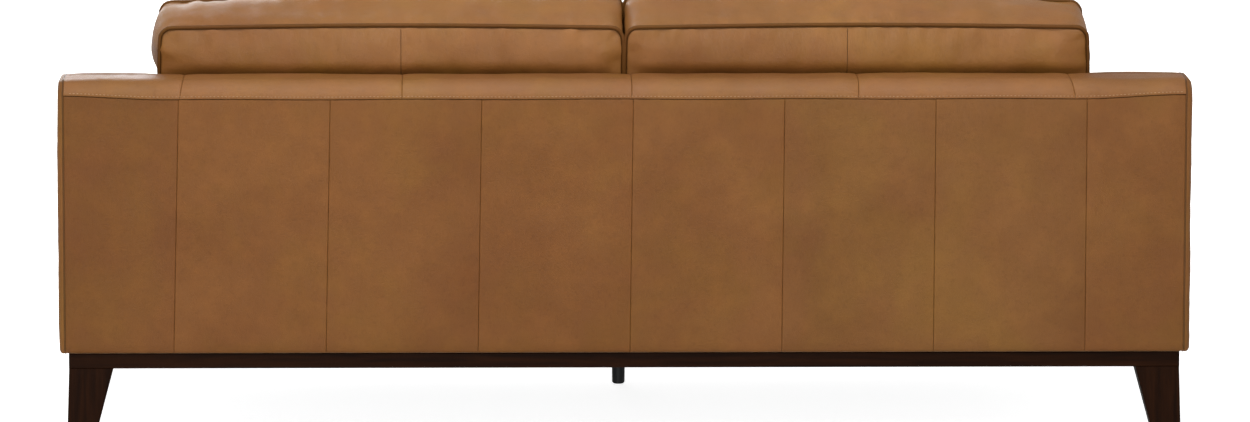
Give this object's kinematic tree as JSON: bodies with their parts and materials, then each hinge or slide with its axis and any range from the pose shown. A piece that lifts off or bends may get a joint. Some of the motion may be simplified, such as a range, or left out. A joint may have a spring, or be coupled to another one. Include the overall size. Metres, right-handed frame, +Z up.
{
  "type": "three-seat sofa",
  "caption": "Leather sofa with pieced outside back, piped loose seat and back cushions, sloping arms and a dark timber plinth on tapered legs.",
  "frame": {"origin": "on the floor, under the middle of the sofa's bounding box", "axes": "+Z up; the sofa faces -Y; +X is on the left of a person sitting in it"},
  "size_m": [2.15, 0.95, 0.808],
  "materials": {
    "leather": "aniline-dyed cowhide, cognac, soft sheen, lightly mottled",
    "piping_leather": "the same hide rolled over cord",
    "plinth_timber": "espresso stain under satin lacquer",
    "frame_timber": "plain softwood, unfinished",
    "board": "hardboard, smooth on the outside",
    "foam": "polyurethane foam",
    "wadding": "foam and polyester wadding",
    "webbing": "woven elastic webbing",
    "lining_cloth": "black non-woven lining cloth",
    "glide_plastic": "black moulded plastic",
    "steel": "zinc-plated steel"
  },
  "bodies": {
    "sofa_frame": {"plinth_front_rail": "plinth_timber", "plinth_rear_rail": "plinth_timber", "plinth_side_rail_left": "plinth_timber", "plinth_side_rail_right": "plinth_timber", "plinth_cross_rail": "plinth_timber", "leg_front_left": "plinth_timber", "leg_front_right": "plinth_timber", "leg_rear_left": "plinth_timber", "leg_rear_right": "plinth_timber", "leg_glides": "glide_plastic", "centre_leg": "glide_plastic", "leg_bolts": "steel", "centre_leg_bolt": "steel", "plinth_screws": "steel", "seat_springs": "steel", "spring_clips": "steel", "seat_front_rail": "frame_timber", "seat_rear_rail": "frame_timber", "seat_side_rails": "frame_timber", "corner_blocks": "frame_timber", "arm_bottom_rails": "frame_timber", "arm_front_posts": "frame_timber", "arm_rear_posts": "frame_timber", "arm_top_rails": "frame_timber", "back_ribs": "frame_timber", "back_top_rail": "frame_timber", "back_lower_rail": "frame_timber", "arm_outer_boards": "board", "arm_inner_boards": "board", "back_board": "board", "back_webbing": "webbing", "dust_cover": "lining_cloth", "deck_pad": "wadding", "outside_back_wadding": "wadding", "front_border_padding": "wadding", "back_padding": "wadding", "arm_padding_left": "wadding", "arm_padding_right": "wadding", "front_border_cover": "leather", "inside_back_cover": "leather", "back_top_band": "leather", "outside_back_cover": "leather", "arm_outer_cover_left": "leather", "arm_outer_cover_right": "leather", "arm_inner_cover_left": "leather", "arm_inner_cover_right": "leather", "arm_band_left": "leather", "arm_band_right": "leather"},
    "seat_cushion_left": {"seat_cushion_left_cover": "leather", "seat_cushion_left_core": "foam", "seat_cushion_left_piping": "piping_leather"},
    "seat_cushion_right": {"seat_cushion_right_cover": "leather", "seat_cushion_right_core": "foam", "seat_cushion_right_piping": "piping_leather"},
    "back_cushion_left": {"back_cushion_left_cover": "leather", "back_cushion_left_core": "foam", "back_cushion_left_piping": "piping_leather"},
    "back_cushion_right": {"back_cushion_right_cover": "leather", "back_cushion_right_core": "foam", "back_cushion_right_piping": "piping_leather"}
  },
  "joints": [
    {"name": "seat_cushion_left_pull", "type": "slide", "parent": "sofa_frame", "child": "seat_cushion_left", "axis": [0, -1, 0], "range_m": [0, 0.8]},
    {"name": "seat_cushion_right_pull", "type": "slide", "parent": "sofa_frame", "child": "seat_cushion_right", "axis": [0, -1, 0], "range_m": [0, 0.8]},
    {"name": "back_cushion_left_lift", "type": "slide", "parent": "sofa_frame", "child": "back_cushion_left", "axis": [0, 0, 1], "range_m": [0, 0.45]},
    {"name": "back_cushion_right_lift", "type": "slide", "parent": "sofa_frame", "child": "back_cushion_right", "axis": [0, 0, 1], "range_m": [0, 0.45]}
  ]
}
